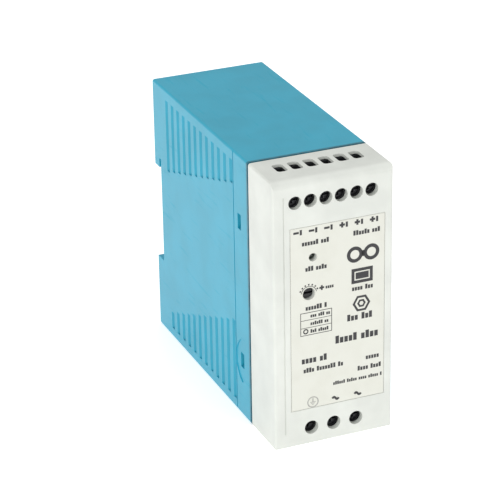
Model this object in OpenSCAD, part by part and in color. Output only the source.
// DIN rail power supply: a slim plastic case that clips onto a 35 mm rail.
//
// Frame: X runs across the case (+X is right, seen from the front), Y runs
// through it (the front face is at -Y, the rail at +Y) and Z is up. The origin
// is the centre of the case's bottom. Lengths are in millimetres.

/* [Case] */
// Width of the case
case_w = 40; // [40:1:60]
// Height of the case
case_h = 90; // [84:1:120]
// Depth from the front face to the rear
case_d = 100; // [90:1:130]
// Wall of the housing and of the front cover
wall = 2; // [1.6:0.1:2.4]
// Depth of the front cover
cover_d = 18.5; // [18:0.5:24]
// Radius of the cover's upper front edge
top_edge_r = 3; // [1:0.5:5]
// Radius of the cover's lower and upright front edges
front_edge_r = 1; // [0.5:0.1:2]
// Radius of the long edges that run front to back
long_edge_r = 0.8; // [0.4:0.1:1.6]
// Play around the cover's tongues and snap catches
fit_gap = 0.15; // [0.1:0.05:0.3]

/* [Vents] */
// Number of vent slots in a row
vent_count = 12; // [4:1:16]
// Distance from one vent slot to the next
vent_pitch = 5; // [3:0.5:7]
// Width of a vent slot
vent_w = 1.5; // [1:0.1:2.5]
// Plain band behind the last vent slot
vent_rear_band = 13; // [8:1:20]
// Height of the lower slots' upper ends, at the rear
vent_low_end = 9.5; // [6:0.5:20]
// Rise of the lower slots' upper ends towards the front, per length
vent_low_slope = 0.4; // [0:0.05:0.4]
// Depth of the upper slots' lower ends below the top, at the rear
vent_high_end = 28.5; // [20:0.5:40]
// Rise of the upper slots' lower ends towards the front, per length
vent_high_slope = 0.31; // [0:0.01:0.36]

/* [Snap windows] */
// Distance from the cover's edge to the middle of a snap window
snap_back = 7.8; // [6:0.2:12]
// Width of a snap window
snap_w = 2.6; // [2.2:0.2:4]
// Height of a snap window
snap_h = 5.2; // [4:0.2:8]
// Height of the lower window's middle above the bottom
snap_low_z = 19.5; // [15:0.5:30]
// Depth of the upper window's middle below the top
snap_top_z = 22.3; // [15:0.5:30]

/* [Rail] */
// Height of the rail that the case clips onto
rail_h = 35; // [30:0.5:40]
// Thickness of the rail's flange
rail_t = 1; // [0.8:0.1:1.5]
// Depth of the notch that takes the rail
rail_notch = 5.5; // [4.5:0.5:8]
// Play around the rail's flange
rail_gap = 0.4; // [0.2:0.1:0.8]
// How far the hook and the latch reach over the rail's flange
rail_grip = 2.5; // [1.5:0.1:3.5]

/* [Latch] */
// Width of the latch
latch_w = 16; // [12:0.5:20]
// Thickness of the latch
latch_t = 3.4; // [2.5:0.1:3.8]
// Travel of the latch
latch_travel = 5; // [4:0.5:6]
// Wire diameter of the latch spring
spring_wire = 0.45; // [0.3:0.05:0.6]
// Outer diameter of the latch spring
spring_d = 2.8; // [2:0.1:3.2]
// Number of turns of the latch spring
spring_turns = 6; // [4:1:8]

/* [Output terminals] */
// Number of output terminals
out_ways = 6; // [2:1:6]
// Distance from one output terminal to the next
out_pitch = 5.08; // [4.2:0.01:5.2]
// Wall between two output terminals
out_pole_wall = 0.78; // [0.6:0.01:1]
// Thread diameter of an output screw
out_screw_d = 2.5; // [2:0.1:3]
// Head diameter of an output screw
out_head_d = 3.8; // [3.2:0.1:4]
// Diameter of an output screw hole in the cover
out_hole_d = 4.3; // [4:0.1:4.6]
// Width of an output wire entry
out_wire_w = 3.5; // [2.5:0.1:3.6]
// Distance from the top to an output screw's axis
out_edge = 7.2; // [7:0.1:9]

/* [Input terminals] */
// Number of input terminals
in_ways = 3; // [2:1:3]
// Distance from one input terminal to the next
in_pitch = 7.62; // [6.3:0.01:9.2]
// Wall between two input terminals
in_pole_wall = 2.4; // [0.8:0.1:3]
// Thread diameter of an input screw
in_screw_d = 3; // [2.5:0.1:3.6]
// Head diameter of an input screw
in_head_d = 4.2; // [3.8:0.1:5]
// Diameter of an input screw hole in the cover
in_hole_d = 4.6; // [4.4:0.1:5.5]
// Width of an input wire entry
in_wire_w = 4; // [3:0.1:4]
// Distance from the bottom to an input screw's axis
in_edge = 5.8; // [5.7:0.1:9]

/* [Terminal insides] */
// Room for a wire in an open clamp
wire_room = 3.5; // [2.5:0.1:4]
// Travel of a clamp
clamp_travel = 2.8; // [2:0.1:3]
// Half the height of a clamp
clamp_half = 2.6; // [2.4:0.1:3]
// Sheet thickness of a clamp's sides
clamp_side_t = 0.45; // [0.3:0.05:0.6]
// Thickness of a clamp's threaded wall
nut_t = 1.4; // [1:0.1:2]
// Thickness of a contact bar
bar_t = 0.7; // [0.5:0.1:1]
// Thickness of a screw head
head_t = 1.6; // [1.2:0.1:2]
// Play of the parts that slide or turn in a terminal block
slide_gap = 0.1; // [0.05:0.05:0.2]
// Radial play of a screw in its clamp
thread_gap = 0.05; // [0.02:0.01:0.1]

/* [Label and controls] */
// Thickness of the label
label_t = 0.2; // [0.1:0.05:0.3]
// Bare margin left of the label
label_left = 5.5; // [4:0.1:8]
// Bare margin right of the label
label_right = 2.7; // [2.6:0.1:6]
// Bare margin under the label
label_low = 12.5; // [11:0.5:20]
// Bare margin over the label
label_high = 15.5; // [13:0.5:20]
// Diameter of the indicator lamp
led_d = 3; // [2:0.1:3]
// Diameter of the lamp's hole
led_hole_d = 2.6; // [1.6:0.1:2.8]
// Depth of the lamp's axis below the top
led_down = 26; // [22:0.5:30]
// Distance of the lamp's axis left of the middle
led_left = 6.9; // [4:0.1:10]
// Diameter of the trimmer's shaft
trimmer_d = 3.4; // [2.5:0.1:4]
// Diameter of the trimmer's hole
trimmer_hole_d = 4; // [3.5:0.1:5]
// Depth of the trimmer's axis below the top
trimmer_down = 38; // [34:0.5:40]
// Distance of the trimmer's axis left of the middle
trimmer_left = 8.3; // [5:0.1:10]

/* [Boards] */
// Thickness of the circuit boards
board_t = 1.6; // [1:0.1:2]
// Room between the main board's solder side and the wall
solder_room = 2.8; // [2:0.1:4]

/* [Hidden] */

$fn = 64;
// Overlap of a cut with the face that it passes through
cut = 0.5;

// The case's own planes
x_side = case_w / 2;
x_inner = x_side - wall;
y_front = -case_d / 2;
y_rear = case_d / 2;
y_split = y_front + cover_d;
z_inner = case_h - wall;

// Planes across a terminal, from the front face to the front board
block_front_gap = 0.6;
head_sink = 0.4;
neck_t = 0.5;
clamp_end_t = 0.7;
block_back_t = 0.9;
y_skin = y_front + wall;
y_block = y_skin + block_front_gap;
y_head = y_block + head_sink;
y_neck = y_head + head_t;
y_chamber = y_neck + neck_t;
y_nut = y_chamber + clamp_travel + slide_gap;
y_bar = y_nut + nut_t + slide_gap;
y_wire = y_bar + bar_t;
y_wire_end = y_wire + wire_room;
y_clamp_end = y_wire_end + clamp_end_t;
y_chamber_end = y_clamp_end + slide_gap;
y_board = y_chamber_end + block_back_t;
y_board_back = y_board + board_t;

// Heights of the terminals' screw axes
z_out = case_h - out_edge;
z_in = in_edge;
// Cover wall over a terminal block, and the gap between them
entry_wall = 1;
block_gap = 0.2;
// Room for a contact's leg beside the clamp, and the wall beyond it
leg_room = 1.9;
leg_wall = 0.8;
leg_gap = 0.2;
contact_low = clamp_half + slide_gap + leg_room - leg_gap;

// The notch for the rail
slot_over_rail = 0.7;
ledge_under_rail = 1.5;
rail_z = case_h / 2;
y_seat = y_rear - rail_notch;
y_lip = y_seat + rail_t + rail_gap;
z_rail_top = rail_z + rail_h / 2;
z_rail_low = rail_z - rail_h / 2;
z_slot_top = z_rail_top + slot_over_rail;
z_hook_tip = z_rail_top - rail_grip;
z_ledge = z_rail_low - ledge_under_rail;
y_back_inner = y_seat - wall;

// The latch and its channel; a peg stands in the latch's window, and the
// spring between the peg and the window's top still has some play when the
// latch is all the way down
latch_lip = 2.4;
channel_back_t = 0.5;
spring_spare = 1.1;
y_channel = y_seat + channel_back_t;
y_channel_end = y_channel + latch_t + 2 * slide_gap;
channel_w = latch_w + 2 * slide_gap;
z_latch_low = 1.2;
z_latch_tip = z_rail_low + rail_grip;
latch_window_w = spring_d + 2.2;
z_peg = 10.2;
peg_h = 2;
z_window = z_peg - slide_gap;
z_window_top = z_peg + peg_h + spring_turns * spring_wire + latch_travel + spring_spare;

// Tongues and snap arms of the cover
tongue_t = 1.6;
x_tongue = x_inner - tongue_t;
tongue_margin = 8;
tongue_reach = 3;
y_snap = y_split + snap_back;
SNAP_HEIGHTS = [snap_low_z, case_h - snap_top_z];

// Places of the lamp and the trimmer
x_led = -led_left;
z_led = case_h - led_down;
x_trimmer = -trimmer_left;
z_trimmer = case_h - trimmer_down;
trimmer_h = 5;
trimmer_hub_d = trimmer_d + 0.6;
trimmer_floor = 1;

// Boards
front_board_w = 2 * (x_tongue - 0.3);
board_margin = 3;
x_board = x_inner - solder_room - board_t;
x_board_back = x_board + board_t;
y_main = y_split + 4;
y_main_end = y_back_inner - 0.5;
z_main = wall + 0.4;
z_main_end = z_inner - 0.4;
header_pins_count = 12;
header_pitch = 2.54;
x_header = x_board - 1.8;
z_header = rail_z;

// Colours
BLUE = [0.32, 0.66, 0.78];
CREAM = [0.90, 0.91, 0.88];
LABEL_WHITE = [0.93, 0.93, 0.91];
BLACK = [0.12, 0.12, 0.13];
STEEL = [0.75, 0.76, 0.78];
BRASS = [0.80, 0.66, 0.35];
COPPER = [0.72, 0.43, 0.22];
BOARD_GREEN = [0.13, 0.38, 0.22];
FERRITE = [0.22, 0.22, 0.24];

// ---------------------------------------------------------------------------
// Helpers

// A box given by its lowest and highest corners
module span(low, high) {
    translate(low) cube(high - low);
}

// A rectangle with round corners, centred
module rounded_rect(w, h, r) {
    square([w - 2 * r, h], center = true);
    square([w, h - 2 * r], center = true);
    for (x = [-1, 1], y = [-1, 1])
        translate([x * (w / 2 - r), y * (h / 2 - r)]) circle(r);
}

// A cylinder along Y from one depth to another
module along_y(d, y0, y1) {
    translate([0, y0, 0]) rotate([-90, 0, 0]) cylinder(d = d, h = y1 - y0);
}

// A cylinder that stands on the main board's face, reaching towards -X
module on_board(d, h) {
    translate([x_board - h, 0, 0]) rotate([0, 90, 0]) cylinder(d = d, h = h);
}

// The case's outline seen from the front, from one depth to another
module case_bar(y0, y1) {
    translate([0, y1, case_h / 2]) rotate([90, 0, 0]) linear_extrude(y1 - y0)
        rounded_rect(case_w, case_h, long_edge_r);
}

// Both sides of the case
module both_sides() {
    children();
    mirror([1, 0, 0]) children();
}

function way_x(i, ways, pitch) = (i - (ways + 1) / 2) * pitch;

// Puts a child at an output terminal's screw axis, its wire entry upwards
module at_output(i) {
    translate([way_x(i, out_ways, out_pitch), 0, z_out]) children();
}

// Puts a child at an input terminal's screw axis, its wire entry downwards
module at_input(i) {
    translate([way_x(i, in_ways, in_pitch), 0, z_in]) mirror([0, 0, 1]) children();
}

// ---------------------------------------------------------------------------
// Housing

// One upright vent slot, its rear side flared outwards
module vent_slot(y, z0, z1) {
    half = vent_w / 2;
    flare = 0.8;
    translate([0, y, z0]) linear_extrude(z1 - z0)
        polygon([[x_inner - cut, -half], [x_side + cut, -half],
                 [x_side + cut, half + flare + cut], [x_side - flare, half],
                 [x_inner - cut, half]]);
}

// Vent slots of one side: an upper and a lower row, with a plain band between
// them that rises towards the front
module vent_slots() {
    y_last = y_rear - vent_rear_band;
    margin = 1.5;
    for (i = [0 : vent_count - 1]) {
        forward = i * vent_pitch;
        vent_slot(y_last - forward, wall + margin, vent_low_end + vent_low_slope * forward);
        vent_slot(y_last - forward, case_h - vent_high_end + vent_high_slope * forward,
                  z_inner - margin);
    }
}

// Hollow of the housing: it steps forward where the rail and the latch sit
module housing_hollow() {
    upper_floor = z_slot_top + 2 * wall;
    span([-x_inner, y_split - cut, wall], [x_inner, y_back_inner, z_inner]);
    span([-x_inner, y_back_inner - cut, upper_floor], [x_inner, y_rear - wall, z_inner]);
    both_sides()
        span([channel_w / 2 + wall, y_back_inner - cut, wall],
             [x_inner, y_rear - wall, z_ledge - wall]);
}

// Notch for the rail, with the slot above it that leaves the fixed hook
module rail_notch_cut() {
    span([-x_side - cut, y_seat, z_ledge], [x_side + cut, y_rear + cut, z_hook_tip]);
    span([-x_side - cut, y_seat, z_hook_tip - cut], [x_side + cut, y_lip, z_slot_top]);
}

// Channel for the latch, open at the rear between two lips
module latch_channel() {
    open_w = latch_w - 2 * latch_lip;
    span([-channel_w / 2, y_channel, -cut], [channel_w / 2, y_channel_end, z_ledge + cut]);
    span([-open_w / 2, y_channel, -cut], [open_w / 2, y_rear + cut, z_ledge + cut]);
}

// Peg in the channel: the spring stands on it, and it stops the latch
module latch_peg() {
    peg_w = latch_window_w - 0.8;
    span([-peg_w / 2, y_channel - cut, z_peg], [peg_w / 2, y_channel_end, z_peg + peg_h]);
}

// Ribs that hold one edge of the main board, standing on the bottom wall
module board_guide() {
    rib_h = 1.6;
    rib_t = 1.3;
    rib_gap = 0.1;
    for (x = [x_board - rib_gap - rib_t, x_board_back + rib_gap])
        span([x, y_main, wall - cut], [x + rib_t, y_back_inner + cut, wall + rib_h]);
}

// Shallow lens-shaped relief around a snap window, cut into the side towards +X
module window_relief() {
    half_w = 4.6;
    half_h = 7.8;
    arc_r = (half_w + half_h * half_h / half_w) / 2;
    rotate([0, 90, 0]) intersection_for(s = [-1, 1])
        translate([0, s * (arc_r - half_w), 0]) cylinder(r = arc_r, h = 1);
}

module housing() {
    groove_y = y_split + 12.2;
    groove_w = 0.5;
    groove_deep = 0.3;
    joint_w = 0.7;
    joint_deep = 0.6;
    color(BLUE) {
        difference() {
            case_bar(y_split, y_rear);
            // groove all round at the joint with the cover
            difference() {
                span([-x_side - cut, y_split - cut, -cut],
                     [x_side + cut, y_split + joint_w, case_h + cut]);
                span([-x_side + joint_deep, y_split - 2 * cut, joint_deep],
                     [x_side - joint_deep, y_split + joint_w + cut, case_h - joint_deep]);
            }
            housing_hollow();
            rail_notch_cut();
            latch_channel();
            both_sides() {
                vent_slots();
                for (z = SNAP_HEIGHTS)
                    span([x_inner - cut, y_snap - snap_w / 2, z - snap_h / 2],
                         [x_side + cut, y_snap + snap_w / 2, z + snap_h / 2]);
                span([x_side - groove_deep, groove_y - groove_w / 2, -cut],
                     [x_side + cut, groove_y + groove_w / 2, case_h + cut]);
                translate([x_side - groove_deep, y_snap, snap_low_z]) window_relief();
            }
        }
        latch_peg();
        board_guide();
        translate([0, 0, case_h]) mirror([0, 0, 1]) board_guide();
    }
}

// ---------------------------------------------------------------------------
// Front cover and label

// A bar of the case's width, round at the front; z0 and z1 are its lower and
// upper sides
module side_form(z0, z1, r) {
    long = 2 * case_h;
    translate([-x_side, 0, 0]) rotate([90, 0, 90]) linear_extrude(case_w)
        translate([y_front + long / 2, (z0 + z1) / 2]) rounded_rect(long, z1 - z0, r);
}

// Outer form of the cover, with its upper front edge rounder than the others
module cover_form() {
    long = 2 * case_w;
    intersection() {
        case_bar(y_front, y_split);
        side_form(0, case_h, front_edge_r);
        side_form(-case_h, case_h, top_edge_r);
        // outline seen from above
        linear_extrude(case_h)
            translate([0, y_front + long / 2]) rounded_rect(case_w, long, front_edge_r);
    }
}

// Area of the label, from one depth to another
module label_area(y0, y1) {
    span([-x_side + label_left, y0, label_low],
         [x_side - label_right, y1, case_h - label_high]);
}

// Holes for the lamp and the trimmer's shaft
module control_holes() {
    translate([x_led, 0, z_led]) along_y(led_hole_d, y_front - cut, y_skin + cut);
    translate([x_trimmer, 0, z_trimmer]) along_y(trimmer_hole_d, y_front - cut, y_skin + cut);
}

// Opening with round corners for a wire in the cover's top or bottom wall, a
// little longer than the clamp's own
module wire_entry(wire_w, edge) {
    corner_r = 1;
    y0 = y_wire - 1.8;
    y1 = y_wire_end + 0.5;
    translate([0, (y0 + y1) / 2, edge - wall - cut]) linear_extrude(wall + 2 * cut)
        rounded_rect(wire_w, y1 - y0, corner_r);
}

// Room that brings a terminal block closer to the outside, drawn at the
// height of its screws
module block_pocket(ways, pitch, pole_wall, edge) {
    side = block_w(ways, pitch, pole_wall) / 2 + block_gap;
    span([-side, y_skin, edge - wall - cut], [side, y_split + cut, edge - entry_wall]);
}

// Tongue of the right side, which slides into the housing
module cover_tongue() {
    z0 = tongue_margin;
    z1 = case_h - tongue_margin;
    span([x_tongue, y_split - tongue_reach, z0], [x_inner, y_split, z1]);
    span([x_tongue, y_split - cut, z0], [x_inner - fit_gap, y_split + tongue_reach, z1]);
}

// Snap arm of the right side, with the catch that stands in its window
module snap_arm() {
    catch_w = 1.7;
    catch_out = wall - 0.9;
    arm_h = snap_h - 0.5;
    x0 = x_inner - fit_gap;
    y0 = y_snap - snap_w / 2 + 0.2;
    y1 = y0 + catch_w;
    span([x_tongue, y_split + tongue_reach - cut, -arm_h / 2], [x0, y1 + 0.5, arm_h / 2]);
    translate([0, 0, -arm_h / 2]) linear_extrude(arm_h)
        polygon([[x0 - cut, y0], [x0 + catch_out, y0], [x0 + catch_out, y0 + 0.5], [x0 - cut, y1]]);
}

module front_cover() {
    seam_x = -x_side + 3.5;
    seam_w = 0.4;
    seam_deep = 0.25;
    seam_margin = 5;
    color(CREAM) {
        difference() {
            cover_form();
            span([-x_inner, y_skin, wall], [x_inner, y_split + cut, z_inner]);
            label_area(y_front - cut, y_front + label_t + 0.05);
            span([seam_x - seam_w / 2, y_front - cut, seam_margin],
                 [seam_x + seam_w / 2, y_front + seam_deep, case_h - seam_margin]);
            control_holes();
            translate([0, 0, z_out])
                block_pocket(out_ways, out_pitch, out_pole_wall, out_edge);
            translate([0, 0, z_in]) mirror([0, 0, 1])
                block_pocket(in_ways, in_pitch, in_pole_wall, in_edge);
            for (i = [1 : out_ways]) at_output(i) {
                along_y(out_hole_d, y_front - cut, y_skin + cut);
                wire_entry(out_wire_w, out_edge);
            }
            for (i = [1 : in_ways]) at_input(i) {
                along_y(in_hole_d, y_front - cut, y_skin + cut);
                wire_entry(in_wire_w, in_edge);
            }
        }
        both_sides() {
            cover_tongue();
            for (z = SNAP_HEIGHTS) translate([0, 0, z]) snap_arm();
        }
    }
}

module front_label() {
    margin = 0.1;
    color(LABEL_WHITE) difference() {
        span([-x_side + label_left + margin, y_front + 0.05, label_low + margin],
             [x_side - label_right - margin, y_front + 0.05 + label_t, case_h - label_high - margin]);
        control_holes();
    }
}

// ---------------------------------------------------------------------------
// Latch and spring

module din_latch() {
    y0 = y_channel + slide_gap;
    y1 = y_channel_end - slide_gap;
    y_hook = y_lip + slide_gap;
    z_step = z_ledge - 0.4;
    tool_w = 6;
    tool_h = 2.4;
    color(BLUE) difference() {
        translate([-latch_w / 2, 0, 0]) rotate([90, 0, 90]) linear_extrude(latch_w)
            polygon([[y0, z_latch_low], [y1, z_latch_low], [y1, z_latch_tip - 2.8],
                     [y_hook + 0.5, z_latch_tip], [y_hook, z_latch_tip],
                     [y_hook, z_step], [y0, z_step]]);
        // window for the peg and the spring
        span([-latch_window_w / 2, y0 - cut, z_window],
             [latch_window_w / 2, y1 + cut, z_window_top]);
        // slot for a screwdriver's blade
        span([-tool_w / 2, y0 - cut, z_latch_low + 1.4],
             [tool_w / 2, y1 + cut, z_latch_low + 1.4 + tool_h]);
    }
}

// A wire wound into a helix along Z, as a tube with eight sides
module helix(mean_r, wire_d, length, turns) {
    sides = 8;
    steps = 14;
    rings = turns * steps;
    function centre(i) = [0, 0, wire_d / 2 + (length - wire_d) * i / rings];
    points = [
        for (i = [0 : rings]) let (a = 360 * i / steps)
            for (j = [0 : sides - 1]) let (b = 360 * j / sides, r = mean_r + wire_d / 2 * cos(b))
                centre(i) + [r * cos(a), r * sin(a), wire_d / 2 * sin(b)]
    ];
    walls = [
        for (i = [0 : rings - 1], j = [0 : sides - 1]) let (k = (j + 1) % sides)
            [i * sides + j, i * sides + k, (i + 1) * sides + k, (i + 1) * sides + j]
    ];
    first = [[for (j = [0 : sides - 1]) sides - 1 - j]];
    last = [[for (j = [0 : sides - 1]) rings * sides + j]];
    polyhedron(points, concat(walls, first, last), convexity = 10);
}

module latch_spring() {
    seat_gap = 0.05;
    z0 = z_peg + peg_h + seat_gap;
    color(STEEL) translate([0, (y_channel + y_channel_end) / 2, z0])
        helix((spring_d - spring_wire) / 2, spring_wire,
              z_window_top - seat_gap - z0, spring_turns);
}

// ---------------------------------------------------------------------------
// Terminals. Each module is drawn at a screw's axis, with the wire entry up.

// Block body for a row of terminals; edge is the way from the axis to the
// outside of the case
module terminal_block(ways, pitch, pole_wall, screw_d, head_d, wire_w, edge) {
    side = block_w(ways, pitch, pole_wall) / 2;
    chamber_w = pitch - pole_wall;
    chamber_half = clamp_half + slide_gap;
    top = edge - entry_wall - block_gap;
    low = -(chamber_half + leg_room + leg_wall);
    bar_w = contact_w(pitch, pole_wall);
    color(BLACK) difference() {
        span([-side, y_block, low], [side, y_board, top]);
        for (i = [1 : ways]) translate([way_x(i, ways, pitch), 0, 0]) {
            along_y(head_d + 2 * slide_gap, y_block - cut, y_neck);
            along_y(screw_d + 2 * slide_gap, y_neck - cut, y_chamber + cut);
            span([-chamber_w / 2, y_chamber, -chamber_half],
                 [chamber_w / 2, y_chamber_end, chamber_half]);
            // window for the wire
            span([-wire_w / 2, y_wire, 0], [wire_w / 2, y_wire_end, top + cut]);
            // slot for the contact's leg
            span([-bar_w / 2 - slide_gap, y_bar - slide_gap, -chamber_half - leg_room],
                 [bar_w / 2 + slide_gap, y_board + cut, -chamber_half + cut]);
        }
    }
}

module terminal_screw(screw_d, head_d) {
    slot_w = 0.7;
    slot_deep = 0.8;
    cross_h = head_d * 0.64;
    play = 0.05;
    color(STEEL) difference() {
        union() {
            along_y(head_d, y_head, y_neck - play);
            along_y(screw_d, y_neck - play - cut, y_bar - play);
        }
        span([-head_d, y_head - cut, -slot_w / 2], [head_d, y_head + slot_deep, slot_w / 2]);
        span([-slot_w / 2, y_head - cut, -cross_h / 2],
             [slot_w / 2, y_head + slot_deep, cross_h / 2]);
    }
}

// Cage that the screw pulls towards its head, open to the wire along Z
module clamp_cage(screw_d, pitch, pole_wall) {
    cage_w = clamp_w(pitch, pole_wall);
    inner_w = cage_w - 2 * clamp_side_t;
    color(BRASS) difference() {
        span([-cage_w / 2, y_nut, -clamp_half], [cage_w / 2, y_clamp_end, clamp_half]);
        span([-inner_w / 2, y_nut + nut_t, -clamp_half - cut],
             [inner_w / 2, y_wire_end, clamp_half + cut]);
        along_y(screw_d + 2 * thread_gap, y_nut - cut, y_nut + nut_t + cut);
    }
}

// Fixed bar that the wire is pressed against, its leg and its board pin
module contact_bar(pitch, pole_wall) {
    bar_w = contact_w(pitch, pole_wall);
    pin_w = 1;
    pin_out = 1.8;
    color(BRASS) {
        span([-bar_w / 2, y_bar, -contact_low], [bar_w / 2, y_bar + bar_t, clamp_half - 0.2]);
        span([-bar_w / 2, y_bar, -contact_low], [bar_w / 2, y_board, -contact_low + bar_t]);
        span([-pin_w / 2, y_board - cut, -contact_low],
             [pin_w / 2, y_board_back + pin_out, -contact_low + bar_t]);
    }
}

function block_w(ways, pitch, pole_wall) = ways * pitch + pole_wall;
function clamp_w(pitch, pole_wall) = pitch - pole_wall - 2 * slide_gap;
function contact_w(pitch, pole_wall) = clamp_w(pitch, pole_wall) - 2 * clamp_side_t - 0.3;

module output_screw(i) at_output(i) terminal_screw(out_screw_d, out_head_d);
module output_clamp(i) at_output(i) clamp_cage(out_screw_d, out_pitch, out_pole_wall);
module output_contacts() {
    for (i = [1 : out_ways]) at_output(i) contact_bar(out_pitch, out_pole_wall);
}
module output_terminal_block() {
    translate([0, 0, z_out])
        terminal_block(out_ways, out_pitch, out_pole_wall,
                       out_screw_d, out_head_d, out_wire_w, out_edge);
}

module input_screw(i) at_input(i) terminal_screw(in_screw_d, in_head_d);
module input_clamp(i) at_input(i) clamp_cage(in_screw_d, in_pitch, in_pole_wall);
module input_contacts() {
    for (i = [1 : in_ways]) at_input(i) contact_bar(in_pitch, in_pole_wall);
}
module input_terminal_block() {
    translate([0, 0, z_in]) mirror([0, 0, 1])
        terminal_block(in_ways, in_pitch, in_pole_wall,
                       in_screw_d, in_head_d, in_wire_w, in_edge);
}

// ---------------------------------------------------------------------------
// Front board with the lamp, the trimmer and the header

module front_board() {
    hole_d = 1.6;
    color(BOARD_GREEN) difference() {
        span([-front_board_w / 2, y_board, board_margin],
             [front_board_w / 2, y_board_back, case_h - board_margin]);
        // holes for the contacts' pins, the lamp's leads and the header
        for (i = [1 : out_ways]) at_output(i) translate([0, 0, -contact_low + bar_t / 2])
            along_y(hole_d, y_board - cut, y_board_back + cut);
        for (i = [1 : in_ways]) at_input(i) translate([0, 0, -contact_low + bar_t / 2])
            along_y(hole_d, y_board - cut, y_board_back + cut);
        for (x = [-1.27, 1.27]) translate([x_led + x, 0, z_led])
            along_y(1, y_board - cut, y_board_back + cut);
        at_header() along_y(1.1, y_board - cut, y_board_back + cut);
    }
}

// Puts a child at each pin of the header
module at_header() {
    for (i = [1 : header_pins_count])
        translate([x_header, 0, z_header + way_x(i, header_pins_count, header_pitch)]) children();
}

module board_header() {
    body_t = 2.5;
    length = header_pins_count * header_pitch;
    color(BLACK) difference() {
        span([x_header - body_t / 2, y_board_back, z_header - length / 2],
             [x_header + body_t / 2, y_board_back + body_t, z_header + length / 2]);
        at_header() along_y(0.9, y_board_back - cut, y_board_back + body_t + cut);
    }
}

module header_pins() {
    pin = 0.6;
    y_bend = y_main + 2;
    color(BRASS) at_header() {
        span([-pin / 2, y_board - 0.8, -pin / 2], [pin / 2, y_bend + pin / 2, pin / 2]);
        span([-pin / 2, y_bend - pin / 2, -pin / 2],
             [x_board_back - x_header + 1, y_bend + pin / 2, pin / 2]);
    }
}

module status_led() {
    flange_d = led_d + 0.8;
    body_l = 4.2;
    lead = 0.5;
    sink = sqrt(pow(led_d / 2, 2) - pow(led_hole_d / 2, 2));
    y_dome = y_skin + sink + 0.1;
    color([0.25, 0.42, 0.28]) translate([x_led, 0, z_led]) {
        translate([0, y_dome, 0]) intersection() {
            sphere(d = led_d);
            span([-led_d, -led_d, -led_d], [led_d, 0, led_d]);
        }
        along_y(led_d, y_dome, y_dome + body_l);
        along_y(flange_d, y_dome + body_l - 0.1, y_dome + body_l + 0.9);
        for (x = [-1.27, 1.27])
            span([x - lead / 2, y_dome + body_l, -lead / 2],
                 [x + lead / 2, y_board_back + 1, lead / 2]);
    }
}

module trimmer_body() {
    size = 8;
    bore_d = trimmer_hub_d + 2 * thread_gap;
    color([0.16, 0.30, 0.55]) translate([x_trimmer, 0, z_trimmer]) difference() {
        span([-size / 2, y_board - trimmer_h, -size / 2], [size / 2, y_board, size / 2]);
        along_y(bore_d, y_board - trimmer_h - cut, y_board - trimmer_floor);
    }
}

module trimmer_rotor() {
    slot_w = 0.7;
    slot_deep = 1.2;
    in_hole = 0.8;
    hub_out = 1;
    y_tip = y_skin - in_hole;
    y_floor = y_board - trimmer_floor - 0.2;
    color([0.92, 0.90, 0.84]) translate([x_trimmer, 0, z_trimmer]) difference() {
        union() {
            along_y(trimmer_d, y_tip, y_floor);
            along_y(trimmer_hub_d, y_board - trimmer_h - hub_out, y_floor);
        }
        span([-trimmer_d, y_tip - cut, -slot_w / 2], [trimmer_d, y_tip + slot_deep, slot_w / 2]);
    }
}

// ---------------------------------------------------------------------------
// Main board and what stands on it

module main_board() {
    color(BOARD_GREEN) difference() {
        span([x_board, y_main, z_main], [x_board_back, y_main_end, z_main_end]);
        at_header() translate([-x_header, y_main + 2, 0]) rotate([0, 90, 0])
            translate([0, 0, x_board - cut]) cylinder(d = 1.1, h = board_t + 2 * cut);
    }
}

module insulation_sheet() {
    sheet_t = 0.3;
    margin = 1;
    x = x_inner - sheet_t - 0.2;
    color([0.93, 0.92, 0.85, 0.6])
        span([x, y_snap + snap_w / 2 + 3, wall + margin + 1],
             [x + sheet_t, y_main_end, z_inner - margin - 1]);
}

// Round leads that stand on the board's face, each at its [Y, Z]
module leads(places, d, h) {
    for (p = places) translate([0, p[0], p[1]]) on_board(d, h);
}

module fuse() {
    body_d = 5;
    body_l = 20;
    cap_l = 4.5;
    lift = 1;
    color([0.85, 0.86, 0.84]) translate([0, y_main + 7, 9]) {
        translate([x_board - lift - body_d / 2 - 0.3, 0, 0]) {
            along_y(body_d, 0, body_l);
            for (y = [0, body_l - cap_l]) along_y(body_d + 0.6, y, y + cap_l);
        }
        leads([[2, 0], [body_l - 2, 0]], 0.8, lift + 1);
    }
}

// A coated disc on two leads, standing across the board
module disc_part(disc_d, disc_t) {
    lift = 2;
    translate([x_board - lift - disc_d / 2, 0, 0]) along_y(disc_d, -disc_t / 2, disc_t / 2);
    leads([[0, -disc_d / 4], [0, disc_d / 4]], 0.8, lift + disc_d / 4);
}

module thermistor() {
    color([0.18, 0.32, 0.24]) translate([0, y_main + 6, 20]) disc_part(9, 4.5);
}

module varistor() {
    color([0.12, 0.35, 0.65]) translate([0, y_main + 14, 20]) disc_part(10, 4);
}

module y_capacitor() {
    color([0.20, 0.45, 0.75]) translate([0, y_main + 6, rail_z - 6]) disc_part(7, 3.6);
}

module x_capacitor() {
    size_x = 13;
    size_y = 18;
    size_z = 7;
    color([0.85, 0.78, 0.25]) translate([x_board - size_x, y_main + 30, 5])
        cube([size_x, size_y, size_z]);
}

// A ring core lying on the board, its axis along X
module ring_core(outer_d, inner_d, h) {
    rotate([0, 90, 0]) difference() {
        cylinder(d = outer_d, h = h);
        translate([0, 0, -cut]) cylinder(d = inner_d, h = h + 2 * cut);
    }
}

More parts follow.
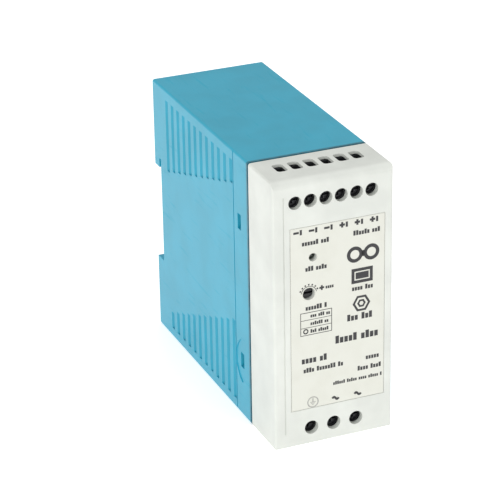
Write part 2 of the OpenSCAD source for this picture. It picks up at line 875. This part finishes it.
// Turns of wire around a ring core, from one angle to another
module ring_turns(outer_d, inner_d, h, wire, a0, a1, count) {
    gap = 0.1;
    r0 = inner_d / 2 - gap - wire;
    r1 = outer_d / 2 + gap + wire;
    rotate([0, 90, 0]) for (i = [0 : count - 1])
        rotate([0, 0, a0 + (a1 - a0) * i / (count - 1)]) difference() {
            span([r0, -wire / 2, -gap - wire], [r1, wire / 2, h + gap + wire]);
            span([r0 + wire, -wire, -gap], [r1 - wire, wire, h + gap]);
        }
}

LINE_CHOKE = [16, 9, 8];
line_choke_wire = 0.8;
module at_line_choke() {
    translate([x_board - LINE_CHOKE[2] - 1.5, y_main + 58, 12]) children();
}
module line_choke_core() {
    color(FERRITE) at_line_choke() ring_core(LINE_CHOKE[0], LINE_CHOKE[1], LINE_CHOKE[2]);
}
module line_choke_windings() {
    turns = 7;
    color(COPPER) at_line_choke() for (a = [0, 180])
        ring_turns(LINE_CHOKE[0], LINE_CHOKE[1], LINE_CHOKE[2], line_choke_wire, a + 30, a + 150, turns);
}

OUTPUT_CHOKE = [15, 8, 7];
output_choke_wire = 1;
module at_output_choke() {
    translate([x_board - OUTPUT_CHOKE[2] - 1.8, y_main + 46, z_main_end - 11]) children();
}
module output_choke_core() {
    color([0.85, 0.80, 0.30]) at_output_choke()
        ring_core(OUTPUT_CHOKE[0], OUTPUT_CHOKE[1], OUTPUT_CHOKE[2]);
}
module output_choke_winding() {
    turns = 11;
    color(COPPER) at_output_choke()
        ring_turns(OUTPUT_CHOKE[0], OUTPUT_CHOKE[1], OUTPUT_CHOKE[2], output_choke_wire, 25, 335, turns);
}

module bridge_rectifier() {
    size_y = 14.5;
    size_x = 11;
    size_z = 3.5;
    lift = 4;
    color(BLACK) translate([0, y_main + 24, 26]) {
        span([x_board - lift - size_x, 0, 0], [x_board - lift, size_y, size_z]);
        leads([for (i = [0 : 3]) [1.8 + i * 3.63, size_z / 2]], 0.9, lift + 0.5);
    }
}

// A can capacitor standing on the board, with a groove near its base
module can_capacitor(d, h) {
    groove = 0.5;
    difference() {
        on_board(d, h);
        translate([x_board - 3, 0, 0]) rotate([0, 90, 0]) difference() {
            cylinder(d = d + 2, h = 1);
            translate([0, 0, -cut]) cylinder(d = d - 2 * groove, h = 1 + 2 * cut);
        }
    }
}

module bulk_capacitor() {
    color([0.10, 0.11, 0.14]) translate([0, y_main + 54, 33]) can_capacitor(18, 28);
}

module output_capacitors() {
    count = 3;
    d = 10;
    color([0.11, 0.16, 0.13]) for (i = [0 : count - 1])
        translate([0, y_main + 7 + i * (d + 1), z_main_end - 8]) can_capacitor(d, 20);
}

// A plate heatsink that stands on the board, its far edge bent up
plate_t = 1.5;
module heatsink_plate(length) {
    height = 22;
    bend = 5;
    span([x_board - height, 0, 0], [x_board, length, plate_t]);
    span([x_board - height, 0, 0], [x_board - height + plate_t, length, bend]);
}

// A transistor's body and its metal tab
TRANSISTOR = [9, 10, 4.4];
tab_x = 6.4;
tab_z = 1.3;
transistor_lift = 4;

// A transistor screwed flat against the under side of a plate
module flat_transistor() {
    x0 = x_board - transistor_lift - TRANSISTOR[0];
    middle = TRANSISTOR[1] / 2;
    difference() {
        union() {
            span([x0, 0, -TRANSISTOR[2]], [x0 + TRANSISTOR[0], TRANSISTOR[1], 0]);
            span([x0 - tab_x, 0, -tab_z], [x0 + cut, TRANSISTOR[1], 0]);
        }
        translate([x0 - tab_x / 2, middle, -tab_z - cut]) cylinder(d = 3.6, h = tab_z + 2 * cut);
    }
    leads([for (i = [-1 : 1]) [middle + 2.54 * i, -2.6]], 0.9, transistor_lift + 0.5);
}

// The two heatsinks, from the board's front edge and up from the bottom
PRIMARY_SINK = [y_main + 44, rail_z + 3];
SECONDARY_SINK = [y_main + 44, rail_z + 17];
sink_l = 22;
transistor_in = 6;

module primary_heatsink() {
    color(STEEL) translate([0, PRIMARY_SINK[0], PRIMARY_SINK[1]]) drilled_sink();
}
module secondary_heatsink() {
    color(STEEL) translate([0, SECONDARY_SINK[0], SECONDARY_SINK[1]]) drilled_sink();
}
module switch_transistor() {
    color(BLACK) translate([0, PRIMARY_SINK[0] + transistor_in, PRIMARY_SINK[1]]) flat_transistor();
}
module output_rectifier() {
    color(BLACK) translate([0, SECONDARY_SINK[0] + transistor_in, SECONDARY_SINK[1]]) flat_transistor();
}

// Place of the screw that holds a transistor to its plate
x_sink_screw = x_board - transistor_lift - TRANSISTOR[0] - tab_x / 2;
y_sink_screw = transistor_in + TRANSISTOR[1] / 2;
module drilled_sink() {
    difference() {
        heatsink_plate(sink_l);
        translate([x_sink_screw, y_sink_screw, -cut]) cylinder(d = 3.4, h = plate_t + 2 * cut);
    }
}
module heatsink_screws() {
    screw_d = 3;
    nut_h = 2.4;
    head_h = 2;
    color(STEEL) for (sink = [PRIMARY_SINK, SECONDARY_SINK])
        translate([x_sink_screw, sink[0] + y_sink_screw, sink[1]]) {
            translate([0, 0, -tab_z - nut_h]) cylinder(d = 2 * screw_d, h = nut_h, $fn = 6);
            translate([0, 0, -tab_z - cut]) cylinder(d = screw_d, h = tab_z + plate_t + 2 * cut);
            translate([0, 0, plate_t]) cylinder(d = 5.5, h = head_h);
        }
}

module control_chip() {
    color(BLACK) translate([x_board - 1.6, y_main + 16, rail_z - 7]) cube([1.6, 5, 4]);
}

module optocouplers() {
    color(BLACK) for (i = [0, 1])
        translate([x_board - 3.6, y_main + 5 + i * 8, rail_z + 8]) cube([3.6, 4.6, 6.4]);
}

// Transformer: an E core whose limbs lie along Z, with a bobbin on the middle one
core_z = 25;
core_y = 20;
core_x = 7;
limb = 3.4;
mid_limb = 7;
window_y = (core_y - mid_limb) / 2 - limb;
bobbin_gap = 0.1;
bobbin_tube_t = 0.7;
bobbin_flange_t = 0.8;
bobbin_x = core_x + 2 * (bobbin_gap + bobbin_tube_t);
bobbin_y = mid_limb + 2 * (bobbin_gap + bobbin_tube_t);
bobbin_l = core_z - 2 * limb - 2 * bobbin_gap;
bobbin_flange = [17, core_y - 2 * limb - 2 * bobbin_gap];
x_transformer = x_board - 5 - 9;
module at_transformer() {
    translate([x_transformer, y_main + 33, rail_z + 10]) children();
}
module transformer_core() {
    color(FERRITE) at_transformer() difference() {
        cube([core_x, core_y, core_z], center = true);
        for (s = [-1, 1]) translate([0, s * (core_y / 2 - limb - window_y / 2), 0])
            cube([core_x + 2 * cut, window_y, core_z - 2 * limb], center = true);
    }
}
module transformer_bobbin() {
    color(BLACK) at_transformer() difference() {
        union() {
            cube([bobbin_x, bobbin_y, bobbin_l], center = true);
            for (s = [-1, 1]) translate([0, 0, s * (bobbin_l - bobbin_flange_t) / 2])
                cube([bobbin_flange[0], bobbin_flange[1], bobbin_flange_t], center = true);
        }
        cube([core_x + 2 * bobbin_gap, mid_limb + 2 * bobbin_gap, bobbin_l + 2 * cut], center = true);
    }
}
module transformer_windings() {
    gap = 0.1;
    under_flange = 0.75;
    length = bobbin_l - 2 * bobbin_flange_t - 4 * gap;
    color([0.92, 0.78, 0.25]) at_transformer() difference() {
        cube([bobbin_flange[0] - 2 * under_flange, bobbin_flange[1] - 6 * gap, length], center = true);
        cube([bobbin_x + 2 * gap, bobbin_y + 2 * gap, length + 2 * cut], center = true);
    }
}

// ---------------------------------------------------------------------------
// The assembly

housing();
front_cover();
front_label();
din_latch();
latch_spring();
front_board();
board_header();
header_pins();
status_led();
trimmer_body();
trimmer_rotor();
output_terminal_block();
output_contacts();
input_terminal_block();
input_contacts();
for (i = [1 : out_ways]) {
    output_screw(i);
    output_clamp(i);
}
for (i = [1 : in_ways]) {
    input_screw(i);
    input_clamp(i);
}
main_board();
insulation_sheet();
fuse();
thermistor();
varistor();
x_capacitor();
y_capacitor();
line_choke_core();
line_choke_windings();
bridge_rectifier();
bulk_capacitor();
primary_heatsink();
switch_transistor();
control_chip();
optocouplers();
transformer_core();
transformer_bobbin();
transformer_windings();
secondary_heatsink();
output_rectifier();
heatsink_screws();
output_choke_core();
output_choke_winding();
output_capacitors();
